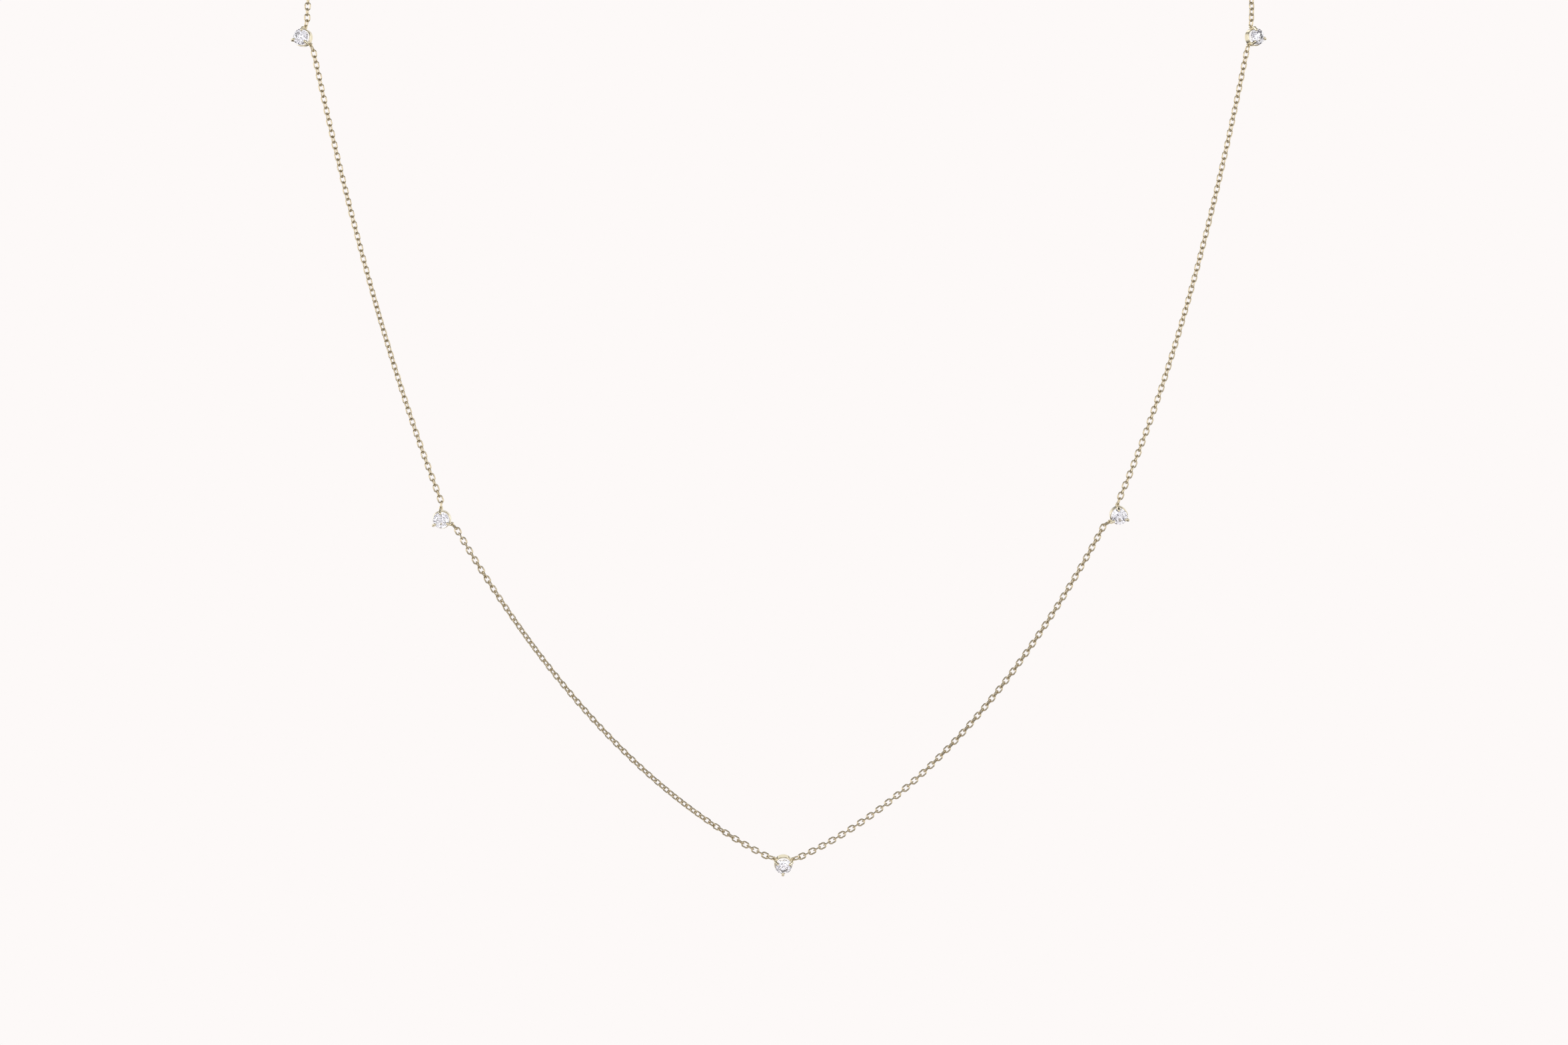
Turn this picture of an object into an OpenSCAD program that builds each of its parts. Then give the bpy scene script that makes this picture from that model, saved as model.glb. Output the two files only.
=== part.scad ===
// Station necklace: five round stones, each in a cast setting with three prongs, spaced along a fine
// cable chain that closes behind the neck. It hangs as it does when it is worn: the front lies in an
// upright plane, and the rest rises past the sides of the neck to a clasp at the nape.
// Millimetres. X points to the right as seen from the front, Y from the front to the nape, Z up.
// The origin is the centre of the clasp, where the necklace hangs over the nape.

/* [Stones] */
// Diameter of each round stone
stone_d = 2.2; // [2.1:0.05:2.25]
// Width of the table as a share of the diameter
table_share = 0.56; // [0.5:0.01:0.64]
// Slope of the main facets above the girdle, in degrees
crown_angle = 34.5; // [30:0.5:37]
// Slope of the main facets below the girdle, in degrees
pavilion_angle = 41; // [39:0.5:42]
// Thickness of the girdle
girdle_t = 0.05; // [0.03:0.01:0.08]

/* [Settings] */
// Outside diameter of the rail, the band that joins the prongs behind the stone
rail_d = 2.42; // [2.4:0.02:2.5]
// Thickness of the rail's wall
rail_wall = 0.16; // [0.14:0.01:0.2]
// Height of the rail along the stone's axis
rail_h = 0.85; // [0.7:0.05:0.95]
// Distance from the girdle back to the middle of the rail
rail_depth = 0.82; // [0.78:0.01:0.9]
// Diameter of a prong's shaft
prong_d = 0.39; // [0.36:0.01:0.42]
// Radius at which a prong starts at the rail's back edge
foot_reach = 1.08; // [1.04:0.01:1.1]
// Radius at which a prong passes the girdle
prong_reach = 1.28; // [1.25:0.01:1.3]
// Radius at which a prong's tip ends over the crown
tip_reach = 0.95; // [0.9:0.01:1]
// Height of the middle of a prong's tip above the girdle
tip_rise = 0.25; // [0.22:0.01:0.3]
// Distance from the stone's axis to the middle of a loop, clear of the prong beside it
loop_reach = 1.47; // [1.45:0.01:1.52]
// Diameter of the loops' wire
loop_wire = 0.16; // [0.14:0.01:0.18]

/* [Chain] */
// Outside length of a link
link_l = 1.17; // [1.1:0.01:1.3]
// Outside width of a link
link_w = 0.88; // [0.8:0.01:0.95]
// Diameter of the links' wire
wire_d = 0.2; // [0.18:0.01:0.21]
// Play left between two links, or a link and its loop
play = 0.03; // [0.02:0.01:0.05]

/* [Hang] */
// Distance from the nape forward to the upright plane of the stones
front_depth = 47; // [40:1:60]
// How strongly the chain climbs before it turns to the nape
climb = 26; // [24:1:34]
// How far the chain keeps level on each side of the nape
nape_run = 29; // [24:1:36]

/* [Clasp] */
// Outside diameter of the clasp's ring
clasp_d = 5; // [4.5:0.1:5.6]
// Diameter of the clasp's wire
clasp_wire = 0.8; // [0.7:0.05:0.9]
// Outside diameter of the jump ring that the clasp closes on
jump_d = 2.6; // [2.4:0.1:3]
// Diameter of the wire of the jump ring and the clasp's loop
jump_wire = 0.4; // [0.35:0.05:0.45]

/* [Hidden] */
$fn = 32;

GOLD = "#d9c49a";
STONE = "#e6e6f0";

// Where each station hangs. The columns are named by the numbers below: the stone's centre across
// and up from the nape, how far it turns to the right and nods down, the direction of its first
// prong, the step from its first loop to its second, and the directions in which the chain leaves
// the two loops. The last six are degrees, and the last four are seen from the front.
ACROSS = 0;
UP = 1;
TURN = 2;
NOD = 3;
ROLL = 4;
LOOP_STEP = 5;
FIRST_PULL = 6;
TOP_LEFT     = [-63.52,  -34.9,  -22, -5,  79, -120,  76,  -66];
MIDDLE_LEFT  = [-44.88,  -99.08,  -7,  9,  94, -120,  86,  -46];
BOTTOM       = [  0.6,  -145.08,   3, 28, 148, -120, 164,   15];
MIDDLE_RIGHT = [ 45.2,   -98.61,   6, 15,  98,  120,  70, -148];
TOP_RIGHT    = [ 63.54,  -34.87,  33, -3, 109,  120,  83, -104];

// The two loops of a station
FIRST = 0;
SECOND = 1;

// How each stretch of chain hangs between two stations: the radius of the catenary's lowest point
DROOP_UPPER_LEFT = 30;
DROOP_LOWER_LEFT = 50;
DROOP_LOWER_RIGHT = 43;
DROOP_UPPER_RIGHT = 22.5;
// Outward lean of the chain above each top station, as a share of its climb
LEAN_LEFT = 0;
LEAN_RIGHT = 0.05;

TUBE_SIDES = 8;
FRONT_RINGS = 12;
BACK_RINGS = 16;

PRONGS = 3;
FACETS = 8;
stone_r = stone_d / 2;
table_r = stone_r * table_share;
// The stars end half-way between the table's edge and the girdle
half_step = 180 / FACETS;
star_r = (table_r * cos(half_step) + stone_r) / 2;
// The lower halves end near the culet, at this share of the stone's radius
lower_share = 0.23;
lower_r = stone_r * lower_share;
// Heights on the stone, from the middle of its girdle
girdle_z = girdle_t / 2;
table_z = girdle_z + (stone_r - table_r) * tan(crown_angle);
star_z = girdle_z + (stone_r - star_r * cos(half_step)) * tan(crown_angle);
lower_z = -girdle_z - (stone_r - lower_r * cos(half_step)) * tan(pavilion_angle);
culet_z = -girdle_z - stone_r * tan(pavilion_angle);
// Play between a stone and its seat in the prongs
seat_play = 0.02;

rail_r = rail_d / 2;
prong_r = prong_d / 2;
// A prong's rounded foot ends this far in front of the rail's back edge
foot_rise = 0.07;
// A tip is drawn slightly thinner than its shaft
tip_taper = 0.01;
tip_r = prong_r - tip_taper;
// A loop just lets a link's wire through
loop_mid_r = loop_wire / 2 + wire_d / 2 + play;

link_mid_l = link_l - wire_d;
link_mid_w = link_w - wire_d;
// Links lie slightly closer than they would when pulled taut
link_play = 0.01;
pitch = link_l - 2 * wire_d - link_play;
// A tube starts just past the end of the link that it hangs from
tube_gap = 0.05;
tube_start = (link_l - pitch) / 2 + tube_gap;

clasp_mid_r = (clasp_d - clasp_wire) / 2;
// The clasp's loop for the chain, sunk into the ring where it is soldered
clasp_loop_mid_r = 0.55;
clasp_loop_sink = 0.12;
clasp_loop_x = -(clasp_d / 2 + clasp_loop_mid_r + jump_wire / 2 - clasp_loop_sink);
// Height of the nib above the middle of the clasp's wire
clasp_nib_h = 0.9;
jump_mid_r = (jump_d - jump_wire) / 2;
// The jump ring passes through the clasp and rests against its inner side
jump_x = clasp_mid_r - clasp_wire / 2 - jump_wire / 2 - play + jump_mid_r;

// Vectors
function unit(v) = v / norm(v);
function across_from(v, axis) = unit(v - (v * axis) * axis);
function from_front(angle) = [cos(angle), 0, sin(angle)];

// A point of a station, given as seen on its face: right, up, and out towards the viewer
function nodded(v, a) = [v.x, v.y * cos(a) - v.z * sin(a), v.y * sin(a) + v.z * cos(a)];
function turned(v, a) = [v.x * cos(a) - v.y * sin(a), v.x * sin(a) + v.y * cos(a), v.z];
function on_station(s, v) = turned(nodded([v.x, -v.z, v.y], s[NOD]), s[TURN]);
function station_centre(s) = [s[ACROSS], -front_depth, s[UP]];
function loop_angle(s, loop) = s[ROLL] + loop * s[LOOP_STEP];
function loop_centre(s, loop) = station_centre(s) + on_station(s,
    [loop_reach * cos(loop_angle(s, loop)), loop_reach * sin(loop_angle(s, loop)), -rail_depth]);
function pull(s, loop) = from_front(s[FIRST_PULL + loop]);

// A link held by a ring's wire: its own wire lies just inside the ring
function hung_link(ring_centre, ring_mid_r, ring_wire, direction) =
    ring_centre + (ring_mid_r - ring_wire / 2 - wire_d / 2 - play + link_mid_l / 2) * direction;
function station_link(s, loop) = hung_link(loop_centre(s, loop), loop_mid_r, loop_wire, pull(s, loop));
// The chain goes on from the point where that link and the next one meet
function chain_start(s, loop) = station_link(s, loop) + pitch / 2 * pull(s, loop);
clasp_left_link_centre = hung_link([clasp_loop_x, 0, 0], clasp_loop_mid_r, jump_wire, [-1, 0, 0]);
clasp_right_link_centre = hung_link([jump_x, 0, 0], jump_mid_r, jump_wire, [1, 0, 0]);

// Catenary between p and q, in the upright plane through both
function sinh(x) = (exp(x) - exp(-x)) / 2;
function cosh(x) = (exp(x) + exp(-x)) / 2;
function asinh(x) = ln(x + sqrt(x * x + 1));
function span(p, q) = norm([q.x - p.x, q.y - p.y]);
function low_point(p, q, droop) =
    span(p, q) / 2 - droop * asinh((q.z - p.z) / (2 * droop * sinh(span(p, q) / (2 * droop))));
function catenary_length(p, q, droop) =
    droop * (sinh((span(p, q) - low_point(p, q, droop)) / droop) + sinh(low_point(p, q, droop) / droop));
// The catenary's point and direction after a length of chain
function catenary_reach(p, q, droop, length) =
    let (low = low_point(p, q, droop)) low + droop * asinh(length / droop - sinh(low / droop));
function catenary_point(p, q, droop, length) =
    let (low = low_point(p, q, droop),
         reach = catenary_reach(p, q, droop, length),
         way = [q.x - p.x, q.y - p.y, 0] / span(p, q))
    p + reach * way + [0, 0, droop * (cosh((reach - low) / droop) - cosh(low / droop))];
function catenary_direction(p, q, droop, length) =
    let (low = low_point(p, q, droop),
         reach = catenary_reach(p, q, droop, length),
         way = [q.x - p.x, q.y - p.y, 0] / span(p, q))
    unit(way + [0, 0, sinh((reach - low) / droop)]);

// Smooth curve from p, leaving along u, to q, arriving along v
function bend_point(p, u, v, q, t) =
    pow(1 - t, 3) * p + 3 * pow(1 - t, 2) * t * (p + u) + 3 * (1 - t) * t * t * (q - v) + pow(t, 3) * q;
function bend_direction(p, u, v, q, t) =
    unit(pow(1 - t, 2) * u + 2 * (1 - t) * t * (q - v - p - u) + t * t * v);

// Tube round a line of points, with its rings square to the line
module tube(points, directions) {
    rings = [for (i = [0:len(points) - 1])
        let (side = across_from([0, 1, 0], directions[i]), other = cross(directions[i], side))
        for (k = [0:TUBE_SIDES - 1])
            points[i] + link_w / 2 * (cos(k * 360 / TUBE_SIDES) * side + sin(k * 360 / TUBE_SIDES) * other)];
    last = (len(points) - 1) * TUBE_SIDES;
    first_cap = [[for (k = [0:TUBE_SIDES - 1]) k]];
    last_cap = [[for (k = [TUBE_SIDES - 1:-1:0]) last + k]];
    walls = [for (i = [0:len(points) - 2], k = [0:TUBE_SIDES - 1])
        let (a = i * TUBE_SIDES + k, b = i * TUBE_SIDES + (k + 1) % TUBE_SIDES)
        each [[b, a, a + TUBE_SIDES], [b, a + TUBE_SIDES, b + TUBE_SIDES]]];
    color(GOLD) polyhedron(points = rings, faces = concat(first_cap, walls, last_cap));
}

// Chain that hangs between a loop of one station and a loop of the next
module hanging_chain(from, from_loop, to, to_loop, droop) {
    p = chain_start(from, from_loop);
    q = chain_start(to, to_loop);
    run = catenary_length(p, q, droop) - 2 * tube_start;
    lengths = [for (i = [0:FRONT_RINGS - 1]) tube_start + run * i / (FRONT_RINGS - 1)];
    tube([for (l = lengths) catenary_point(p, q, droop, l)],
         [for (l = lengths) catenary_direction(p, q, droop, l)]);
}

// Chain from a top station up past the side of the neck and round to the clasp
module back_chain(station, lean, clasp_link_centre) {
    side = sign(station[ACROSS]);
    p = chain_start(station, FIRST);
    q = clasp_link_centre + [side * pitch / 2, 0, 0];
    u = [lean * climb, 0, climb];
    v = [-side * nape_run, 0, 0];
    t_first = tube_start / (3 * climb);
    t_last = 1 - tube_start / (3 * nape_run);
    steps = [for (i = [0:BACK_RINGS - 1]) t_first + (t_last - t_first) * i / (BACK_RINGS - 1)];
    tube([for (t = steps) bend_point(p, u, v, q, t)], [for (t = steps) bend_direction(p, u, v, q, t)]);
}

// Moves its children to a station, with +Z out of the stone's table
module at_station(s) {
    translate(station_centre(s)) rotate([0, 0, s[TURN]]) rotate([s[NOD], 0, 0]) rotate([90, 0, 0]) children();
}

// Round rod with rounded ends, from p to q
module rod(p, q, r) {
    way = q - p;
    lean = acos(way.z / norm(way));
    turn = atan2(way.y, way.x);
    translate(p) rotate([0, lean, turn]) rotate_extrude() intersection() {
        translate([0, -r]) square([r, norm(way) + 2 * r]);
        union() {
            circle(r);
            square([r, norm(way)]);
            translate([0, norm(way)]) circle(r);
        }
    }
}

// Round wire ring, flat on XY
module wire_ring(mid_r, wire) {
    rotate_extrude() translate([mid_r, 0]) circle(d = wire);
}

// Oval link of round wire, its length along X and its width along Y
module oval_link() {
    half_straight = (link_mid_l - link_mid_w) / 2;
    for (end = [-1, 1]) {
        translate([end * half_straight, 0, 0]) rotate([0, 0, -90 * end])
            rotate_extrude(angle = 180) translate([link_mid_w / 2, 0]) circle(d = wire_d);
        translate([0, end * link_mid_w / 2, 0]) rotate([0, 90, 0])
            cylinder(h = 2 * half_straight, d = wire_d, center = true);
    }
}

// A link at a point, its length along one direction and its width towards another
module placed_link(centre, direction, width_towards) {
    w = across_from(width_towards, direction);
    n = cross(direction, w);
    color(GOLD) multmatrix([
        [direction.x, w.x, n.x, centre.x],
        [direction.y, w.y, n.y, centre.y],
        [direction.z, w.z, n.z, centre.z],
        [0, 0, 0, 1]]) oval_link();
}

module end_link(s, loop) {
    placed_link(station_link(s, loop), pull(s, loop), on_station(s, [0, 0, 1]));
}

// Brilliant cut: a table, stars, kites and split facets above the girdle, and mains below it
module brilliant() {
    steps = [0:FACETS - 1];
    turn = 360 / FACETS;
    table = [for (k = steps) [table_r * cos(k * turn), table_r * sin(k * turn), table_z]];
    stars = [for (k = steps) [star_r * cos((k + 0.5) * turn), star_r * sin((k + 0.5) * turn), star_z]];
    edge_top = [for (k = [0:2 * FACETS - 1])
        [stone_r * cos(k * half_step), stone_r * sin(k * half_step), girdle_z]];
    edge_low = [for (p = edge_top) [p.x, p.y, -girdle_z]];
    lower = [for (k = steps) [lower_r * cos((k + 0.5) * turn), lower_r * sin((k + 0.5) * turn), lower_z]];
    culet = [0, 0, culet_z];
    // Numbers of the first point of each row: stars, upper and lower edge, lower halves, and the culet
    s0 = FACETS;
    e0 = 2 * FACETS;
    g0 = 4 * FACETS;
    l0 = 6 * FACETS;
    c0 = 7 * FACETS;
    edge_n = 2 * FACETS;
    table_face = [[for (k = [FACETS - 1:-1:0]) k]];
    star_faces = [for (k = steps) [k, (k + 1) % FACETS, s0 + k]];
    kites = [for (k = steps) let (before = (k + FACETS - 1) % FACETS) [k, s0 + k, e0 + 2 * k, s0 + before]];
    upper_halves = [for (k = steps)
        each [[s0 + k, e0 + 2 * k + 1, e0 + 2 * k], [s0 + k, e0 + (2 * k + 2) % edge_n, e0 + 2 * k + 1]]];
    girdle = [for (k = [0:edge_n - 1]) [e0 + k, e0 + (k + 1) % edge_n, g0 + (k + 1) % edge_n, g0 + k]];
    lower_halves = [for (k = steps)
        each [[g0 + 2 * k, g0 + 2 * k + 1, l0 + k], [g0 + 2 * k + 1, g0 + (2 * k + 2) % edge_n, l0 + k]]];
    mains = [for (k = steps) let (before = (k + FACETS - 1) % FACETS) [g0 + 2 * k, l0 + k, c0, l0 + before]];
    faces = concat(table_face, star_faces, kites, upper_halves, girdle, lower_halves, mains);
    polyhedron(points = concat(table, stars, edge_top, edge_low, lower, [culet]), faces = faces);
}

module stone(s) {
    color(STONE) at_station(s) rotate([0, 0, s[ROLL]]) brilliant();
}

// The space round a stone that its prongs are cut back from
module stone_seat() {
    rotate_extrude() polygon([
        [0, table_z + seat_play],
        [table_r + seat_play, table_z + seat_play],
        [star_r + seat_play, star_z + seat_play],
        [stone_r + seat_play, girdle_z + seat_play],
        [stone_r + seat_play, -girdle_z - seat_play],
        [0, culet_z - seat_play]]);
}

module rail() {
    flat_h = rail_h - rail_wall;
    translate([0, 0, -rail_depth]) rotate_extrude() translate([rail_r - rail_wall / 2, 0]) union() {
        square([rail_wall, flat_h], center = true);
        for (end = [-1, 1]) translate([0, end * flat_h / 2]) circle(d = rail_wall);
    }
}

// Cast in one: the rail, three prongs cut to hold the stone, and a loop for the chain at two of them
module setting(s) {
    foot = [foot_reach, 0, -rail_depth - rail_h / 2 + prong_r + foot_rise];
    elbow = [prong_reach, 0, 0];
    tip = [tip_reach, 0, tip_rise];
    color(GOLD) at_station(s) rotate([0, 0, s[ROLL]]) difference() {
        union() {
            rail();
            for (k = [0:PRONGS - 1]) rotate([0, 0, k * 360 / PRONGS]) {
                rod(foot, elbow, prong_r);
                rod(elbow, tip, tip_r);
            }
            for (step = [0, s[LOOP_STEP]]) rotate([0, 0, step])
                translate([loop_reach, 0, -rail_depth]) wire_ring(loop_mid_r, loop_wire);
        }
        stone_seat();
    }
}

// Plain ring clasp with a nib at the top and a loop that the left chain hangs from
module clasp() {
    color(GOLD) rotate([90, 0, 0]) union() {
        wire_ring(clasp_mid_r, clasp_wire);
        translate([clasp_loop_x, 0, 0]) wire_ring(clasp_loop_mid_r, jump_wire);
        translate([0, clasp_mid_r, 0]) rotate([-90, 0, 0]) cylinder(h = clasp_nib_h, d = jump_wire);
    }
}

module clasp_jump_ring() {
    color(GOLD) translate([jump_x, 0, 0]) wire_ring(jump_mid_r, jump_wire);
}

setting(TOP_LEFT);  // top_left_setting
stone(TOP_LEFT);  // top_left_stone
end_link(TOP_LEFT, FIRST);  // top_left_upper_link
end_link(TOP_LEFT, SECOND);  // top_left_lower_link
setting(MIDDLE_LEFT);  // middle_left_setting
stone(MIDDLE_LEFT);  // middle_left_stone
end_link(MIDDLE_LEFT, FIRST);  // middle_left_upper_link
end_link(MIDDLE_LEFT, SECOND);  // middle_left_lower_link
setting(BOTTOM);  // bottom_setting
stone(BOTTOM);  // bottom_stone
end_link(BOTTOM, FIRST);  // bottom_left_link
end_link(BOTTOM, SECOND);  // bottom_right_link
setting(MIDDLE_RIGHT);  // middle_right_setting
stone(MIDDLE_RIGHT);  // middle_right_stone
end_link(MIDDLE_RIGHT, FIRST);  // middle_right_upper_link
end_link(MIDDLE_RIGHT, SECOND);  // middle_right_lower_link
setting(TOP_RIGHT);  // top_right_setting
stone(TOP_RIGHT);  // top_right_stone
end_link(TOP_RIGHT, FIRST);  // top_right_upper_link
end_link(TOP_RIGHT, SECOND);  // top_right_lower_link
hanging_chain(TOP_LEFT, SECOND, MIDDLE_LEFT, FIRST, DROOP_UPPER_LEFT);  // chain_upper_left
hanging_chain(MIDDLE_LEFT, SECOND, BOTTOM, FIRST, DROOP_LOWER_LEFT);  // chain_lower_left
hanging_chain(BOTTOM, SECOND, MIDDLE_RIGHT, SECOND, DROOP_LOWER_RIGHT);  // chain_lower_right
hanging_chain(MIDDLE_RIGHT, FIRST, TOP_RIGHT, SECOND, DROOP_UPPER_RIGHT);  // chain_upper_right
back_chain(TOP_LEFT, LEAN_LEFT, clasp_left_link_centre);  // chain_back_left
back_chain(TOP_RIGHT, LEAN_RIGHT, clasp_right_link_centre);  // chain_back_right
clasp();
clasp_jump_ring();
placed_link(clasp_left_link_centre, [-1, 0, 0], [0, 1, 0]);  // clasp_left_link
placed_link(clasp_right_link_centre, [1, 0, 0], [0, 0, 1]);  // clasp_right_link
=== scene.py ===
# Station necklace in pale yellow gold: five round brilliants, each in a cast setting with three prongs,
# spaced along a fine cable chain. It hangs as it does when it is worn, with the origin at the nape.
# Metres. X points to the right as seen from the front, Y from the front to the nape, Z up.
import math

import bpy
from mathutils import Matrix, Vector


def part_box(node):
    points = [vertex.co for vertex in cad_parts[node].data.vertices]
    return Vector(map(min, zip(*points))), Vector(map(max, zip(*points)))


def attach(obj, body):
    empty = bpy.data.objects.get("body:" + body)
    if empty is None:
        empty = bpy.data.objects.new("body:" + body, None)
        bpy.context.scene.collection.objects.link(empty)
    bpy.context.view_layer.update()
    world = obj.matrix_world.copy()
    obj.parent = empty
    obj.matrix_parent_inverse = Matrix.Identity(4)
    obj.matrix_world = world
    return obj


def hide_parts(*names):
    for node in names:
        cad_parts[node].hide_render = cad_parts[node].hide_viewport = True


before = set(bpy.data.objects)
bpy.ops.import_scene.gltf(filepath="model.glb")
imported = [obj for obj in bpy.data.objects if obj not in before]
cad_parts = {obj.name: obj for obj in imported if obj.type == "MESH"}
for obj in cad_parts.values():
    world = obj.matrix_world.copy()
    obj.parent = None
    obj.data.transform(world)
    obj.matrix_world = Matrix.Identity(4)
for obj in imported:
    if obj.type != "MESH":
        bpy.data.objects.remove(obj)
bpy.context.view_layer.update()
MM = 0.001


# Camera
# A long lens, level with the middle of the picture and square to the plane that the stones hang in.
# The photograph shows 11.3 pixels to a millimetre there, and its top edge is 30 mm below the nape.
PHOTO_W, PHOTO_H = 2353, 1568
PIXELS_PER_MM = 11.3
PHOTO_MIDLINE_X = 1169
TOP_EDGE_Z = -30 * MM
FRONT_Y = -47 * MM
LENS_MM = 210
SENSOR_MM = 36
CLIP_NEAR, CLIP_FAR = 0.01, 20
LEVEL = math.radians(90)
view_w = PHOTO_W / PIXELS_PER_MM * MM
view_x = (PHOTO_W / 2 - PHOTO_MIDLINE_X) / PIXELS_PER_MM * MM
view_z = TOP_EDGE_Z - PHOTO_H / 2 / PIXELS_PER_MM * MM
camera_distance = view_w * LENS_MM / SENSOR_MM
lens = bpy.data.cameras.new("camera")
lens.lens = LENS_MM
lens.sensor_width = SENSOR_MM
lens.clip_start = CLIP_NEAR
lens.clip_end = CLIP_FAR
camera = bpy.data.objects.new("camera", lens)
camera.location = (view_x, FRONT_Y - camera_distance, view_z)
camera.rotation_euler = (LEVEL, 0, 0)
bpy.context.scene.collection.objects.link(camera)
bpy.context.scene.camera = camera


# Studio
# A pale screen stands all round at the height of the piece, with a soft light on each side, one above and
# one high behind. The room is dark elsewhere, so polished wire shows bright and brown bands.
def linear(hex_colour):
    """The linear colour of an sRGB hex value, with alpha 1."""
    parts = [int(hex_colour[i:i + 2], 16) / 255 for i in (1, 3, 5)]
    return [p / 12.92 if p <= 0.04045 else ((p + 0.055) / 1.055) ** 2.4 for p in parts] + [1]


def add_node(tree, kind, values=(), links=(), **settings):
    """Adds a node with its settings, its sockets' values, and links from other nodes' sockets."""
    node = tree.nodes.new(kind)
    for name, value in settings.items():
        setattr(node, name, value)
    for socket, value in dict(values).items():
        node.inputs[socket].default_value = value
    for socket, source in dict(links).items():
        tree.links.new(source, node.inputs[socket])
    return node


BACKGROUND = "#fdf9f8"
BACKGROUND_STRENGTH = 1.0
SCREEN = "#fffdfc"
ROOM_DARK = "#0c0906"
ROOM_STRENGTH = 1.0
# Sines of the heights above and below the horizon between which the screen ends
SCREEN_FULL = 0.25
SCREEN_NONE = 0.65
# What the stones gather through their facets: bright panels with greyer gaps between them
PANEL = "#fffdff"
PANEL_GAP = "#57525d"
PANEL_STRENGTH = 1.2
PANELS_PER_TURN = 6.0
PANEL_DETAIL = 1.0
# The noise values between which a gap turns into a panel
GAP_ENDS, PANEL_BEGINS = 0.41, 0.47

bpy.context.scene.view_settings.view_transform = "Standard"
world = bpy.data.worlds.new("studio")
bpy.context.scene.world = world
world.use_nodes = True
tree = world.node_tree
tree.nodes.clear()
where = add_node(tree, "ShaderNodeTexCoord")
split = add_node(tree, "ShaderNodeSeparateXYZ", links={0: where.outputs["Generated"]})
height = add_node(tree, "ShaderNodeMath", links={0: split.outputs["Z"]}, operation="ABSOLUTE")
dark_share = add_node(tree, "ShaderNodeMapRange", {"From Min": SCREEN_FULL, "From Max": SCREEN_NONE},
                      {"Value": height.outputs[0]}, interpolation_type="SMOOTHSTEP")
room_colour = add_node(tree, "ShaderNodeMix", {6: linear(SCREEN), 7: linear(ROOM_DARK)},
                       {0: dark_share.outputs[0]}, data_type="RGBA")
room = add_node(tree, "ShaderNodeBackground", {"Strength": ROOM_STRENGTH}, {"Color": room_colour.outputs[2]})
panels = add_node(tree, "ShaderNodeTexNoise", {"Scale": PANELS_PER_TURN, "Detail": PANEL_DETAIL},
                  {"Vector": where.outputs["Generated"]})
panel_share = add_node(tree, "ShaderNodeMapRange", {"From Min": GAP_ENDS, "From Max": PANEL_BEGINS},
                       {"Value": panels.outputs[0]}, interpolation_type="SMOOTHSTEP")
panel_colour = add_node(tree, "ShaderNodeMix", {6: linear(PANEL_GAP), 7: linear(PANEL)},
                        {0: panel_share.outputs[0]}, data_type="RGBA")
fire = add_node(tree, "ShaderNodeBackground", {"Strength": PANEL_STRENGTH},
                {"Color": panel_colour.outputs[2]})
backdrop = add_node(tree, "ShaderNodeBackground",
                    {"Color": linear(BACKGROUND), "Strength": BACKGROUND_STRENGTH})
path = add_node(tree, "ShaderNodeLightPath")
# Light that has passed through a stone comes from the panels, and all other light from the room
around = add_node(tree, "ShaderNodeMixShader",
                  links={0: path.outputs["Transmission Depth"], 1: room.outputs[0], 2: fire.outputs[0]})
# The backdrop is seen directly, and it also lights the paper
plain = add_node(tree, "ShaderNodeMath",
                 links={0: path.outputs["Is Camera Ray"], 1: path.outputs["Is Diffuse Ray"]}, operation="ADD")
seen = add_node(tree, "ShaderNodeMixShader",
                links={0: plain.outputs[0], 1: around.outputs[0], 2: backdrop.outputs[0]})
add_node(tree, "ShaderNodeOutputWorld", links={"Surface": seen.outputs[0]})

SOFT_LIGHTS = {
    # name: place, width, height, watts
    "left_softbox": ((-0.75, -0.45, -0.02), 0.3, 0.5, 1.2),
    "right_softbox": ((0.62, -0.61, 0.0), 0.3, 0.5, 1.0),
    "top_softbox": ((0.0, -0.22, 0.42), 0.44, 0.34, 0.47),
    "high_softbox": ((0.0, 0.42, 0.45), 0.9, 0.4, 1.07),
}
middle = Vector((0, FRONT_Y, view_z))
for name, (place, width, height, watts) in SOFT_LIGHTS.items():
    light = bpy.data.lights.new(name, "AREA")
    light.shape = "RECTANGLE"
    light.size = width
    light.size_y = height
    light.energy = watts
    softbox = bpy.data.objects.new(name, light)
    softbox.location = place
    softbox.rotation_euler = (middle - Vector(place)).to_track_quat("-Z", "Y").to_euler()
    bpy.context.scene.collection.objects.link(softbox)

# A round of matt paper well below the necklace
FLOOR = "#e6e2e0"
FLOOR_Z = -0.55
FLOOR_R = 0.4
FLOOR_THICK = 4 * MM
FLOOR_SIDES = 96
FLOOR_ROUGHNESS = 0.9
bpy.ops.object.select_all(action="DESELECT")
bpy.ops.mesh.primitive_cylinder_add(vertices=FLOOR_SIDES, radius=FLOOR_R, depth=FLOOR_THICK,
                                    location=(0, 0, FLOOR_Z - FLOOR_THICK / 2))
floor = bpy.context.object
floor.name = "floor"
paper = bpy.data.materials.new("matt_paper_floor")
paper.use_nodes = True
shader = paper.node_tree.nodes["Principled BSDF"]
shader.inputs["Base Color"].default_value = linear(FLOOR)
shader.inputs["Roughness"].default_value = FLOOR_ROUGHNESS
floor.data.materials.append(paper)


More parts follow.
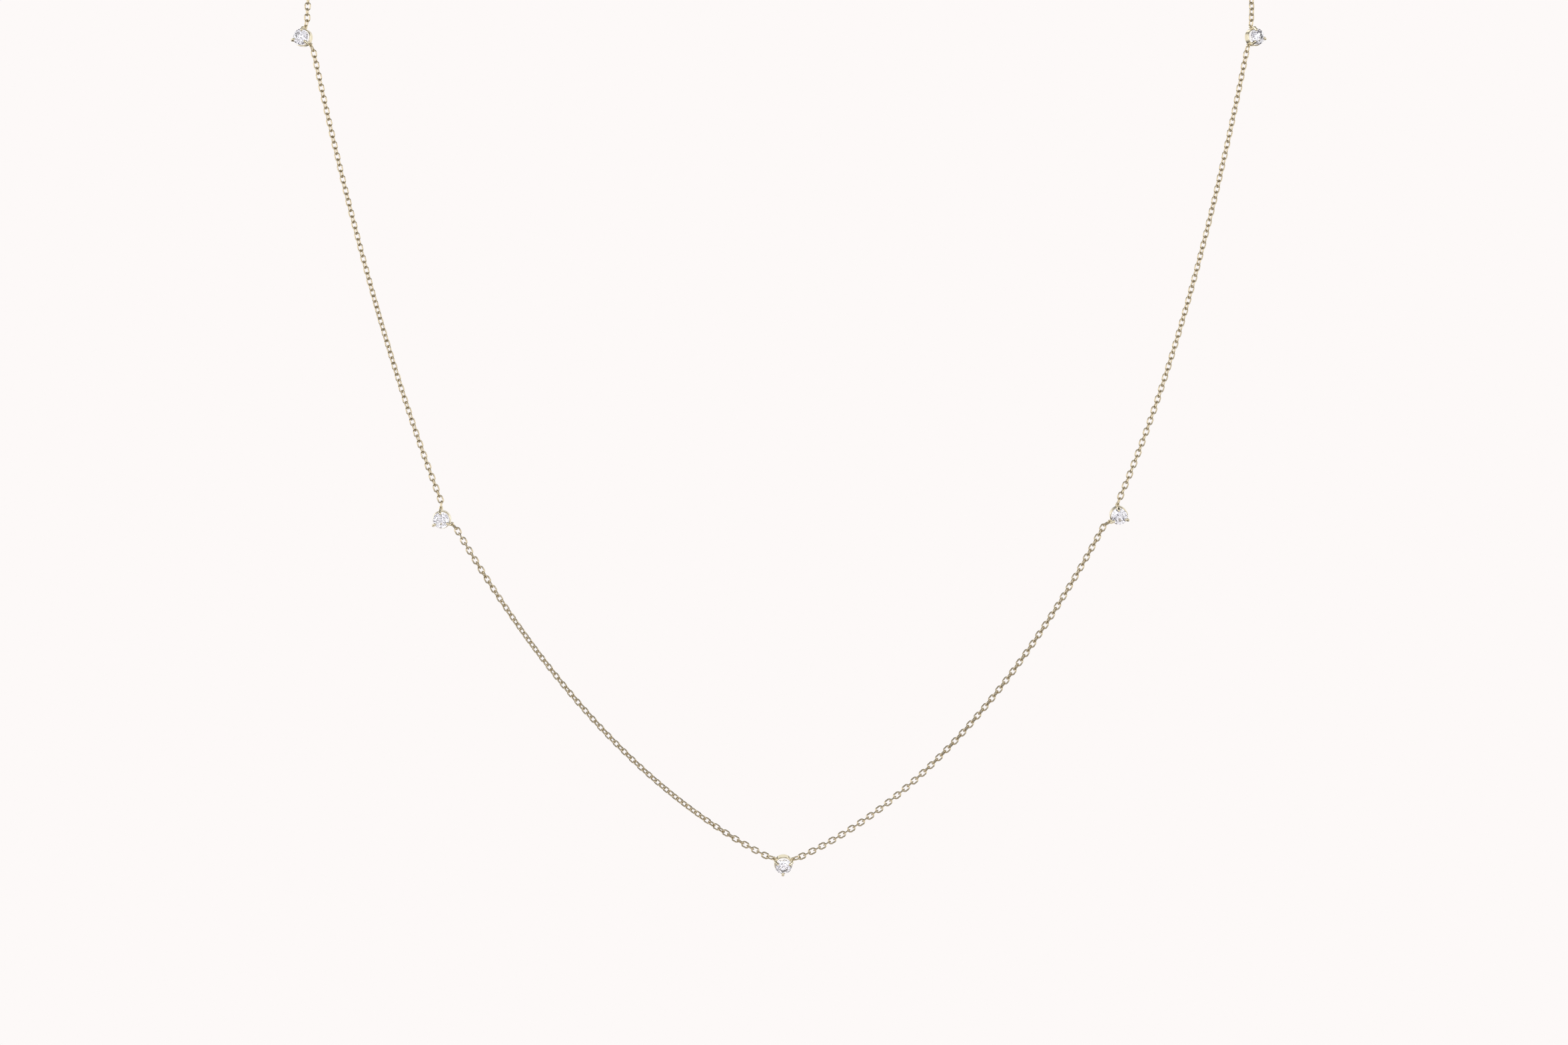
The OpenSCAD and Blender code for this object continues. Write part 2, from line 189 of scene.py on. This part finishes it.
# Settings and end links
# Five lost-wax castings in 14 karat gold, each a rail with three prongs and two loops, and the oval
# links closed through their loops. Castings and links are tumbled and polished: a pale yellow mirror
# that fine wear softens a little, with two tones of the gold that vary slowly along it.
CAST_TONES = "#f3ebd2", "#e6dabb"
CAST_ROUGHNESS = 0.02, 0.08
CAST_RELIEF = 0.002 * MM
# The wire's two tones are the castings' gold painted darker: painted shade on the chain, its end links and
# the clasp.
WIRE_TONES_PAINTED_SHADE = "#d5cab1", "#c4b494"
WIRE_ROUGHNESS = 0.06, 0.16
WIRE_RELIEF = 0.001 * MM
TONE_SPACING = 0.9 * MM
TONE_DETAIL = 2.0
WEAR_SPACING = 0.12 * MM
WEAR_DETAIL = 3.0
# The noise values at which the gold is smoothest and roughest
WEAR_LEAST, WEAR_MOST = 0.3, 0.7
RELIEF_STRENGTH = 0.5


def gold_material(name, tones, roughness_range, relief_height):
    """Polished 14 karat gold: two tones that vary slowly, and wear that varies roughness and relief."""
    material = bpy.data.materials.new(name)
    material.use_nodes = True
    tree = material.node_tree
    shader = tree.nodes["Principled BSDF"]
    shader.inputs["Metallic"].default_value = 1.0
    smoothest, roughest = roughness_range
    place = add_node(tree, "ShaderNodeTexCoord").outputs["Object"]
    tone = add_node(tree, "ShaderNodeTexNoise", {"Scale": 1 / TONE_SPACING, "Detail": TONE_DETAIL},
                    {"Vector": place})
    colour = add_node(tree, "ShaderNodeMix", {6: linear(tones[0]), 7: linear(tones[1])},
                      {0: tone.outputs[0]}, data_type="RGBA")
    wear = add_node(tree, "ShaderNodeTexNoise", {"Scale": 1 / WEAR_SPACING, "Detail": WEAR_DETAIL},
                    {"Vector": place})
    roughness = add_node(tree, "ShaderNodeMapRange",
                         {"From Min": WEAR_LEAST, "From Max": WEAR_MOST,
                          "To Min": smoothest, "To Max": roughest},
                         {"Value": wear.outputs[0]})
    relief = add_node(tree, "ShaderNodeBump", {"Strength": RELIEF_STRENGTH, "Distance": relief_height},
                      {"Height": wear.outputs[0]})
    tree.links.new(colour.outputs[2], shader.inputs["Base Color"])
    tree.links.new(roughness.outputs[0], shader.inputs["Roughness"])
    tree.links.new(relief.outputs[0], shader.inputs["Normal"])
    return material


def finish_node(name, material):
    """Gives one of the frame's own pieces its real material."""
    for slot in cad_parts[name].material_slots:
        slot.material = material


cast_gold = gold_material("polished_cast_14k_gold", CAST_TONES, CAST_ROUGHNESS, CAST_RELIEF)
wire_gold_painted_shade = gold_material("drawn_14k_gold_wire_painted_shade", WIRE_TONES_PAINTED_SHADE, WIRE_ROUGHNESS, WIRE_RELIEF)
# name: where its two end links lie
STATIONS = {
    "top_left": ("upper", "lower"),
    "middle_left": ("upper", "lower"),
    "bottom": ("left", "right"),
    "middle_right": ("upper", "lower"),
    "top_right": ("upper", "lower"),
}
for station, link_places in STATIONS.items():
    finish_node(station + "_setting", cast_gold)
    for link_place in link_places:
        finish_node(station + "_" + link_place + "_link", wire_gold_painted_shade)


# Stones
# Colourless round brilliants of 2.2 mm, cut and polished with flat facets and sharp edges. Diamond
# bends light strongly, so the facets look white, grey or nearly black by turns.
DIAMOND_IOR = 2.417
CLEAR = "#fdfdff"
FAINT_GREY = "#eeeef6"
GROWTH_SPACING = 0.8 * MM
GROWTH_DETAIL = 1.0
diamond = bpy.data.materials.new("polished_diamond")
diamond.use_nodes = True
tree = diamond.node_tree
shader = tree.nodes["Principled BSDF"]
shader.inputs["Transmission Weight"].default_value = 1.0
shader.inputs["IOR"].default_value = DIAMOND_IOR
shader.inputs["Roughness"].default_value = 0.0
place = add_node(tree, "ShaderNodeTexCoord").outputs["Object"]
growth = add_node(tree, "ShaderNodeTexNoise", {"Scale": 1 / GROWTH_SPACING, "Detail": GROWTH_DETAIL},
                  {"Vector": place})
tint = add_node(tree, "ShaderNodeMix", {6: linear(CLEAR), 7: linear(FAINT_GREY)},
                {0: growth.outputs[0]}, data_type="RGBA")
tree.links.new(tint.outputs[2], shader.inputs["Base Color"])
for station in STATIONS:
    finish_node(station + "_stone", diamond)


# Chain
# Cable chain of oval links, each bent from 0.2 mm drawn wire and soldered shut. Neighbouring links
# stand square to each other, and the whole chain is twisted a little by the way it hangs.
LINK_L = 1.18 * MM
LINK_W = 0.88 * MM
WIRE_D = 0.2 * MM
LINK_SEGMENTS = 16
WIRE_SIDES = 6
PITCH = 0.76 * MM
QUARTER_TURN = 90
CURVE_STEPS = 600
TOWARDS_VIEWER = Vector((0, -1, 0))

# One link, along X with its width along Y: a ring whose two halves are drawn apart
ring_r = (LINK_W - WIRE_D) / 2
half_segment = math.pi / LINK_SEGMENTS
# Six flat sides look as thick as round wire when their corners lie slightly outside it
corner_r = WIRE_D / 2 / math.cos(math.pi / WIRE_SIDES / 2)
half_straight = (LINK_L - WIRE_D) / 2 - ring_r * math.cos(half_segment)
bpy.ops.object.select_all(action="DESELECT")
bpy.ops.mesh.primitive_torus_add(major_segments=LINK_SEGMENTS, minor_segments=WIRE_SIDES,
                                 major_radius=ring_r, minor_radius=corner_r, rotation=(0, 0, half_segment))
one_link = bpy.context.object
bpy.ops.object.transform_apply(location=False, rotation=True, scale=False)
for side in (-1, 1):
    bpy.ops.object.mode_set(mode="EDIT")
    bpy.ops.mesh.select_all(action="DESELECT")
    bpy.ops.object.mode_set(mode="OBJECT")
    for vertex in one_link.data.vertices:
        vertex.select = vertex.co.x * side > 0
    bpy.ops.object.mode_set(mode="EDIT")
    bpy.ops.transform.translate(value=(side * half_straight, 0, 0))
    bpy.ops.object.mode_set(mode="OBJECT")
bpy.ops.object.shade_smooth()


def from_front(degrees):
    """The direction at an angle seen from the front, anticlockwise from the right."""
    return Vector((math.cos(math.radians(degrees)), 0, math.sin(math.radians(degrees))))


def chain_end(link_name, along):
    """Where the chain goes on from an end link, half a pitch past its middle."""
    low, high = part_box(link_name)
    return (low + high) / 2 + along * PITCH / 2


def catenary(first_end, last_end, droop):
    """Points of a chain that hangs between two ends, with this radius of curvature at its lowest."""
    across = Vector((last_end.x - first_end.x, last_end.y - first_end.y, 0))
    lean = (last_end.z - first_end.z) / (2 * droop * math.sinh(across.length / (2 * droop)))
    low = across.length / 2 - droop * math.asinh(lean)
    points = []
    for i in range(CURVE_STEPS + 1):
        reach = across.length * i / CURVE_STEPS
        rise = droop * (math.cosh((reach - low) / droop) - math.cosh(low / droop))
        points.append(first_end + across * (i / CURVE_STEPS) + Vector((0, 0, rise)))
    return points


def bend(first_end, leaving, arriving, last_end):
    """Points of a smooth curve between two ends, with the directions in which it leaves and arrives."""
    first_pull = first_end + leaving
    last_pull = last_end - arriving
    points = []
    for i in range(CURVE_STEPS + 1):
        t = i / CURVE_STEPS
        s = 1 - t
        points.append(s ** 3 * first_end + 3 * s * s * t * first_pull
                      + 3 * s * t * t * last_pull + t ** 3 * last_end)
    return points


def line_length(points):
    """The length of a line of points."""
    return sum((ahead - here).length for here, ahead in zip(points, points[1:]))


def along_at(points, length):
    """The point at a length along a line of points, and the direction there."""
    for here, ahead in zip(points, points[1:]):
        step = (ahead - here).length
        if length <= step:
            return here + (ahead - here) * (length / step), (ahead - here).normalized()
        length -= step
    return points[-1], (points[-1] - points[-2]).normalized()


def twist_at(twists, share):
    """The chain's twist in degrees at a share of its length, from (share, degrees) stops."""
    for (share_0, twist_0), (share_1, twist_1) in zip(twists, twists[1:]):
        if share <= share_1:
            return twist_0 + (twist_1 - twist_0) * (share - share_0) / (share_1 - share_0)
    return twists[-1][1]


def make_chain(name, points, count, twists):
    """Joins count links along a line of points, each square to the one before and turned by the twist."""
    length = line_length(points)
    pieces = []
    for k in range(count):
        share = (k + 0.5) / count
        centre, along = along_at(points, share * length)
        depth = (TOWARDS_VIEWER - along * TOWARDS_VIEWER.dot(along)).normalized()
        side = along.cross(depth)
        roll = math.radians(twist_at(twists, share) + QUARTER_TURN * (k % 2))
        width = math.cos(roll) * side + math.sin(roll) * depth
        turn = Matrix((along, width, along.cross(width))).transposed().to_4x4()
        mesh = one_link.data.copy()
        mesh.transform(Matrix.Translation(centre) @ turn)
        piece = bpy.data.objects.new(name, mesh)
        bpy.context.scene.collection.objects.link(piece)
        pieces.append(piece)
    bpy.ops.object.select_all(action="DESELECT")
    for piece in pieces:
        piece.select_set(True)
    bpy.context.view_layer.objects.active = pieces[0]
    bpy.ops.object.join()
    chain = bpy.context.object
    chain.name = "links_" + name
    # The links get the wire gold, whose darker tones are painted shade
    chain.data.materials.append(wire_gold_painted_shade)
    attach(chain, "root")
    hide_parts(name)


HANGING = {
    # name: first end link, its direction, last end link, its direction, droop, links, twist stops
    "chain_upper_left": ("top_left_lower_link", -66, "middle_left_upper_link", 86, 30 * MM, 80,
                         [(0, -22), (0.5, -27), (0.6, -48), (0.8, -59), (1, -75)]),
    "chain_lower_left": ("middle_left_lower_link", -46, "bottom_left_link", 164, 50 * MM, 81,
                         [(0, 0), (0.27, 45), (0.38, 60), (0.65, 58), (0.8, 45), (1, 0)]),
    "chain_lower_right": ("bottom_right_link", 15, "middle_right_lower_link", -148, 43 * MM, 81,
                          [(0, 0), (0.28, 4), (0.4, 20), (1, 20)]),
    "chain_upper_right": ("middle_right_upper_link", 70, "top_right_lower_link", -104, 22.5 * MM, 81,
                          [(0, -12), (0.2, -14), (0.28, -24), (0.55, -28), (1, -27)]),
}
for name, (first_link, out, last_link, back, droop, count, twists) in HANGING.items():
    first_end = chain_end(first_link, from_front(out))
    last_end = chain_end(last_link, from_front(back))
    make_chain(name, catenary(first_end, last_end, droop), count, twists)

# The hidden stretches climb from the top stations and bend back to the clasp
CLIMB = 26 * MM
NAPE_RUN = 29 * MM
BEHIND = {
    # name: top end link, its direction, outward lean, clasp's link, its side, twist stops
    "chain_back_left": ("top_left_upper_link", 76, 0, "clasp_left_link", -1, [(0, 12), (1, 0)]),
    "chain_back_right": ("top_right_upper_link", 83, 0.05, "clasp_right_link", 1, [(0, -38), (1, 0)]),
}
for name, (first_link, out, lean, last_link, side, twists) in BEHIND.items():
    first_end = chain_end(first_link, from_front(out))
    last_end = chain_end(last_link, Vector((side, 0, 0)))
    leaving = Vector((lean * CLIMB, 0, CLIMB))
    arriving = Vector((-side * NAPE_RUN, 0, 0))
    points = bend(first_end, leaving, arriving, last_end)
    make_chain(name, points, round(line_length(points) / PITCH), twists)
bpy.data.objects.remove(one_link)


# Clasp
# A plain ring of gold tube with a soldered loop and a nib, the jump ring it closes on, and the links
# that hang from both. The two rings rub together at the nape, so they are worn duller than the wire.
WORN_ROUGHNESS = 0.14, 0.3
WORN_RELIEF = 0.002 * MM
# The clasp takes the wire's darker tones, which are painted shade, on rougher worn gold
worn_gold_painted_shade = gold_material("worn_14k_gold_clasp_painted_shade", WIRE_TONES_PAINTED_SHADE, WORN_ROUGHNESS, WORN_RELIEF)
for name in ("clasp", "clasp_jump_ring"):
    finish_node(name, worn_gold_painted_shade)
for name in ("clasp_left_link", "clasp_right_link"):
    finish_node(name, wire_gold_painted_shade)
